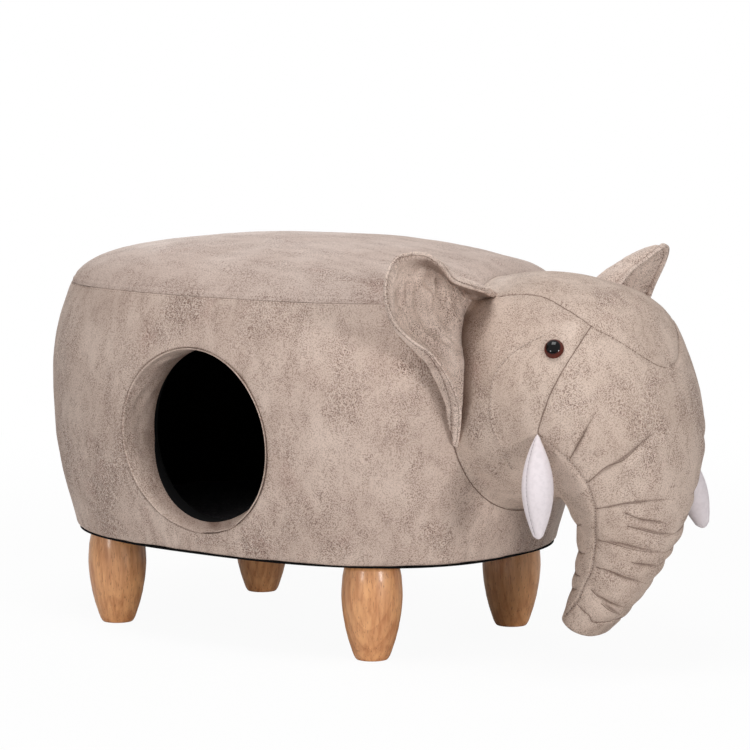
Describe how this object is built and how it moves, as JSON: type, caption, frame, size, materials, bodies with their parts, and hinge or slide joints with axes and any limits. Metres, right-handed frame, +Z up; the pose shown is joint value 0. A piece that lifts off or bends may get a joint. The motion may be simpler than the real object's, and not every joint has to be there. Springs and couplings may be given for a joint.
{
  "type": "animal footstool",
  "caption": "Elephant-shaped upholstered footstool with a domed seat, a stuffed head and trunk, turned wooden legs and a round pet entry in its flank.",
  "frame": {"origin": "on the floor, under the middle of the whole object", "axes": "+Z up, +X towards the head, +Y towards the left flank; the entry faces -Y"},
  "size_m": [0.7058, 0.4546, 0.3892],
  "materials": {
    "plywood": "raw plywood",
    "hardboard": "raw brown hardboard",
    "foam": "cream upholstery foam",
    "hide": "matte distressed greige faux leather with a fine grain",
    "black_cloth": "matt black non-woven cloth",
    "mat_cloth": "charcoal fleece",
    "turned_wood": "honey-coloured turned wood, satin varnish",
    "steel": "zinc-plated steel",
    "eye_glass": "glossy very dark brown",
    "clear_plastic": "translucent white nylon",
    "tusk_hide": "matte off-white faux leather"
  },
  "bodies": {
    "root": {"base_board": "plywood", "top_board": "plywood", "side_wall": "hardboard", "frame_post_1": "plywood", "frame_post_2": "plywood", "frame_post_3": "plywood", "frame_post_4": "plywood", "frame_post_5": "plywood", "frame_post_6": "plywood", "side_foam": "foam", "seat_foam": "foam", "side_cover": "hide", "seat_cover": "hide", "entry_lining": "hide", "entry_hoop": "hardboard", "cabin_lining": "black_cloth", "cabin_mat": "mat_cloth", "dust_cover": "black_cloth", "leg_front_right": "turned_wood", "hanger_bolt_front_right": "steel", "tee_nut_front_right": "steel", "leg_front_left": "turned_wood", "hanger_bolt_front_left": "steel", "tee_nut_front_left": "steel", "leg_rear_right": "turned_wood", "hanger_bolt_rear_right": "steel", "tee_nut_rear_right": "steel", "leg_rear_left": "turned_wood", "hanger_bolt_rear_left": "steel", "tee_nut_rear_left": "steel", "eye_left": "eye_glass", "eye_washer_left": "clear_plastic", "eye_right": "eye_glass", "eye_washer_right": "clear_plastic", "ear_left": "hide", "ear_right": "hide", "tusk_left": "tusk_hide", "tusk_right": "tusk_hide", "head": "hide", "trunk": "hide", "tail": "hide", "tail_tuft": "hide"}
  },
  "joints": []
}
